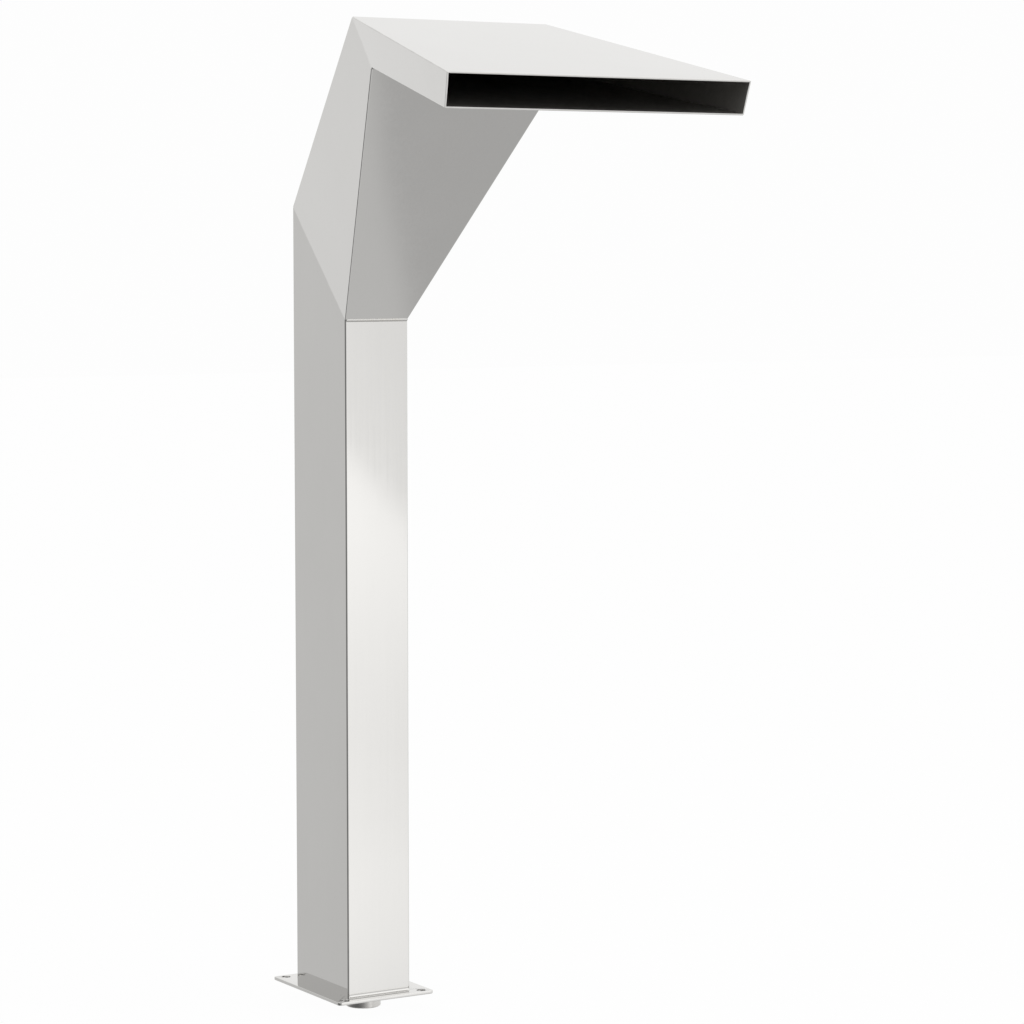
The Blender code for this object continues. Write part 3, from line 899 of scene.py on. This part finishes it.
# ----------------------------------------------------------- inlet nipple
def nipple():
    around = 128
    c, e = NIPPLE_CHAMFER, 0.12 * MM  # the chamfer's own edges are broken a little
    outside = [
        (NIPPLE_R - c, NIPPLE_ABOVE), (NIPPLE_R - c + e, NIPPLE_ABOVE - 0.4 * e), (NIPPLE_R - 0.4 * e, NIPPLE_ABOVE - c + e),
        (NIPPLE_R, NIPPLE_ABOVE - c - e),
    ]
    outside += [(NIPPLE_R, NIPPLE_ABOVE - c - e - (NIPPLE_ABOVE + NIPPLE_BELOW - 2 * c - 2 * e) * i / 10) for i in range(1, 11)]
    outside += [
        (NIPPLE_R - 0.4 * e, -NIPPLE_BELOW + c - e), (NIPPLE_R - c + e, -NIPPLE_BELOW + 0.4 * e), (NIPPLE_R - c - e, -NIPPLE_BELOW),
    ]
    bore = [(NIPPLE_BORE_R + 0.5 * c, -NIPPLE_BELOW), (NIPPLE_BORE_R, -NIPPLE_BELOW + 0.5 * c)]
    bore += [(NIPPLE_BORE_R, -NIPPLE_BELOW + 0.5 * c + (NIPPLE_ABOVE + NIPPLE_BELOW - c) * i / 8) for i in range(1, 9)]
    bore += [(NIPPLE_BORE_R + 0.5 * c, NIPPLE_ABOVE)]
    bm = bmesh.new()
    rings = [
        [bm.verts.new((radius * cos(a), INLET_Y + radius * sin(a), z)) for a in (2 * pi * i / around for i in range(around))]
        for radius, z in outside + bore
    ]
    last = len(rings)
    for k in range(last):
        a, b = rings[k], rings[(k + 1) % last]
        for i in range(around):
            f = bm.faces.new((a[i], a[(i + 1) % around], b[(i + 1) % around], b[i]))
            f.material_index = 1 if len(outside) < k < last - 1 else 0
    outward(bm)
    obj = from_bmesh("turned_pipe_nipple", bm)
    m, t, b, where = new_material("turned_pipe_steel")
    turned = t.noise(t.stretch(where, (60.0, 60.0, 3200.0)), 1.0, 3.0, 0.6)
    worn = t.noise(where, 90.0, 4.0, 0.6)
    t.link(t.tint((0.56, 0.55, 0.535, 1.0), t.remap(worn, 0.3, 0.7, 0.9, 1.05)), b.inputs["Base Color"])
    t.link(t.math("ADD", t.remap(turned, 0.3, 0.7, 0.2, 0.3), t.remap(worn, 0.4, 0.8, 0.0, 0.08)), b.inputs["Roughness"])
    b.inputs["Metallic"].default_value = 1.0
    bump = t.add("ShaderNodeBump")
    bump.inputs["Strength"].default_value = 0.5
    bump.inputs["Distance"].default_value = 0.01 * MM
    t.link(turned, bump.inputs["Height"])
    t.link(bump.outputs[0], b.inputs["Normal"])
    obj.data.materials.append(m)
    obj.data.materials.append(INNER)
    smooth(obj, 60)
    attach(obj, BODY)
    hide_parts("inlet_nipple")


nipple()


# ------------------------------------------------------------------ studio
def build_world():
    """A soft studio by direction only: bright to the front right, above and behind, dim to the front left."""
    world = bpy.data.worlds.new("studio")
    bpy.context.scene.world = world
    world.use_nodes = True
    world.node_tree.nodes.clear()
    t = Nodes(world.node_tree)
    out = t.add("ShaderNodeOutputWorld")
    direction = t.add("ShaderNodeTexCoord").outputs["Generated"]
    xyz = t.add("ShaderNodeSeparateXYZ")
    t.link(direction, xyz.inputs[0])
    x, y, z = xyz.outputs
    azimuth = t.math("ARCTAN2", x, t.math("MULTIPLY", y, -1.0))  # 0 to the front, + to the right
    turn = t.remap(azimuth, -pi, pi, 0.0, 1.0)
    elevation = t.math("MULTIPLY", t.math("ARCSINE", z), 180.0 / pi)

    def ramp(factor, stops, lo, hi, mode="B_SPLINE"):
        n = t.add("ShaderNodeValToRGB")
        n.color_ramp.interpolation = mode
        cr = n.color_ramp
        while len(cr.elements) > 1:
            cr.elements.remove(cr.elements[-1])
        top = max(v for _, v in stops)
        for i, (at, v) in enumerate(stops):
            e = cr.elements[0] if i == 0 else cr.elements.new((at - lo) / (hi - lo))
            e.position = (at - lo) / (hi - lo)
            e.color = (v / top,) * 3 + (1.0,)
        t.link(factor, n.inputs[0])
        return t.math("MULTIPLY", n.outputs[0], top)

    def smooth_step(value, lo, hi):
        n = t.add("ShaderNodeMapRange")
        n.interpolation_type = "SMOOTHSTEP"
        for key, v in (("Value", value), ("From Min", lo), ("From Max", hi), ("To Min", 0.0), ("To Max", 1.0)):
            t.put(n.inputs[key], v)
        return n.outputs["Result"]

    def mix(a, b, f):
        return t.math("ADD", t.math("MULTIPLY", a, t.math("SUBTRACT", 1.0, f)), t.math("MULTIPLY", b, f))

    degrees = t.math("MULTIPLY", azimuth, 180.0 / pi)
    height = t.remap(elevation, -90.0, 90.0, 0.0, 1.0)
    ring = ramp(turn, AZIMUTH_RING, -180.0, 180.0, "LINEAR")
    ring = t.math("MULTIPLY", ring, ramp(height, ELEVATION_TONE, -90.0, 90.0, "LINEAR"))
    # to the front right a bright card stands with a slanted upper edge and a dim wall above it
    beside = t.math("SUBTRACT", degrees, CARD_MIDDLE)
    near = t.math("MINIMUM", t.math("MAXIMUM", beside, -2.0), 2.0)
    lean = t.math("ADD", elevation, near)
    card = ramp(height, CARD_TONE, -90.0, 90.0, "LINEAR")
    wall = t.math("ADD", CARD_WALL, t.math("MULTIPLY", smooth_step(elevation, 3.0, 10.5), CARD_TOP - CARD_WALL))
    wall = t.math("SUBTRACT", wall, t.math("MULTIPLY", smooth_step(elevation, 17.0, 26.0), 0.34))
    front = mix(card, wall, smooth_step(lean, CARD_EDGE[0], CARD_EDGE[1]))
    front = t.math("SUBTRACT", front, t.math("MULTIPLY", near, 0.06))
    side = t.math("ABSOLUTE", beside)
    level = mix(front, ring, smooth_step(side, 7.0, 20.0))
    up_mix = smooth_step(elevation, 22.0, 52.0)
    down_mix = smooth_step(t.math("MULTIPLY", elevation, -1.0), 24.0, 50.0)
    # the ground is paler to the left of a soft line
    line = t.math("ADD", x, t.math("MULTIPLY", y, GROUND_SLANT))
    nadir = t.math("ADD", NADIR, t.math("MULTIPLY", smooth_step(line, GROUND_EDGE[1], GROUND_EDGE[0]), GROUND_STEP))
    level = mix(level, ZENITH, up_mix)
    level = mix(level, nadir, down_mix)
    # a dark curtain low on the left
    drop = t.math("MULTIPLY", elevation, -1.0)
    curtain = t.math("MULTIPLY", smooth_step(degrees, -156.0, -140.0), smooth_step(degrees, -20.0, -45.0))
    curtain = t.math("MULTIPLY", curtain, t.math("MULTIPLY", smooth_step(drop, 14.0, 19.0), smooth_step(drop, 66.0, 58.0)))
    level = mix(level, CURTAIN, curtain)
    soft = t.add("ShaderNodeBackground")
    soft.inputs[0].default_value = (1.0, 0.997, 0.990, 1.0)
    t.link(level, soft.inputs[1])
    plain = t.add("ShaderNodeBackground")
    plain.inputs[0].default_value = (0.985, 0.985, 0.985, 1.0)
    path = t.add("ShaderNodeLightPath")
    swap = t.add("ShaderNodeMixShader")
    t.link(path.outputs["Is Camera Ray"], swap.inputs[0])
    t.link(soft.outputs[0], swap.inputs[1])
    t.link(plain.outputs[0], swap.inputs[2])
    t.link(swap.outputs[0], out.inputs[0])


AZIMUTH_RING = [(-180, 0.955), (-171, 0.935), (-151, 0.79), (-128, 0.52), (-105, 0.24), (-70, 0.18), (-45, 0.28),
                (-20, 0.50), (0, 0.82), (14, 1.12), (60, 1.16), (90, 1.12), (120, 1.10), (148, 1.07), (180, 0.955)]
ELEVATION_TONE = [(-90, 0.9), (-20, 0.96), (-11, 0.95), (0, 1.01), (12, 1.04), (20, 0.95), (90, 1.0)]
CARD_MIDDLE = 29.2
CARD_EDGE = (-4.38, -3.80)
CARD_TONE = [(-90, 1.1), (-16, 1.12), (-13.4, 1.17), (-12.8, 1.25), (-12.3, 1.325), (-10.7, 1.36), (-9.4, 1.30), (-8.3, 1.275), (-7.5, 1.31), (-6.0, 1.40),
             (-5.0, 1.45), (-3.5, 1.46), (90, 1.46)]
CARD_WALL = 1.16
CARD_TOP = 1.74
ZENITH = 1.52
NADIR = 0.605
CURTAIN = 0.18
GROUND_STEP = 0.15
GROUND_SLANT = -0.139
GROUND_EDGE = (0.5235, 0.5305)
build_world()


def build_floor():
    lo, _ = CAD_BOX
    bm = bmesh.new()
    bmesh.ops.create_grid(bm, x_segments=2, y_segments=2, size=14.0)
    for v in bm.verts:
        v.co.z = lo[2] - 0.0004
    floor = from_bmesh("studio_floor", bm)
    m = bpy.data.materials.new("pale_floor")
    m.use_nodes = True
    m.node_tree.nodes.clear()
    t = Nodes(m.node_tree)
    out = t.add("ShaderNodeOutputMaterial")
    glow = t.add("ShaderNodeEmission")
    glow.inputs[0].default_value = (1.0, 1.0, 1.0, 1.0)
    glow.inputs[1].default_value = 0.98
    paint = t.add("ShaderNodeBsdfDiffuse")
    paint.inputs[0].default_value = (0.008, 0.008, 0.008, 1.0)
    both = t.add("ShaderNodeAddShader")
    t.link(glow.outputs[0], both.inputs[0])
    t.link(paint.outputs[0], both.inputs[1])
    t.link(both.outputs[0], out.inputs[0])
    floor.data.materials.append(m)
    floor.visible_glossy = False
    floor.visible_diffuse = False
    floor.visible_transmission = False


build_floor()


def soft_light(name, location, target, size, power):
    data = bpy.data.lights.new(name, "AREA")
    data.shape = "DISK"
    data.size = size
    data.energy = power
    data.color = (1.0, 0.998, 0.99)
    obj = bpy.data.objects.new(name, data)
    obj.location = location
    obj.rotation_euler = (Vector(target) - Vector(location)).to_track_quat("-Z", "Y").to_euler()
    obj.visible_glossy = False
    bpy.context.scene.collection.objects.link(obj)


soft_light("soft_overhead", (0.9, -1.2, 2.8), (0.0, -0.1, 0.3), 2.2, 40.0)

scene = bpy.context.scene
scene.view_settings.view_transform = "Standard"
scene.view_settings.look = "None"
scene.view_settings.exposure = 0.0
scene.view_settings.gamma = 1.0
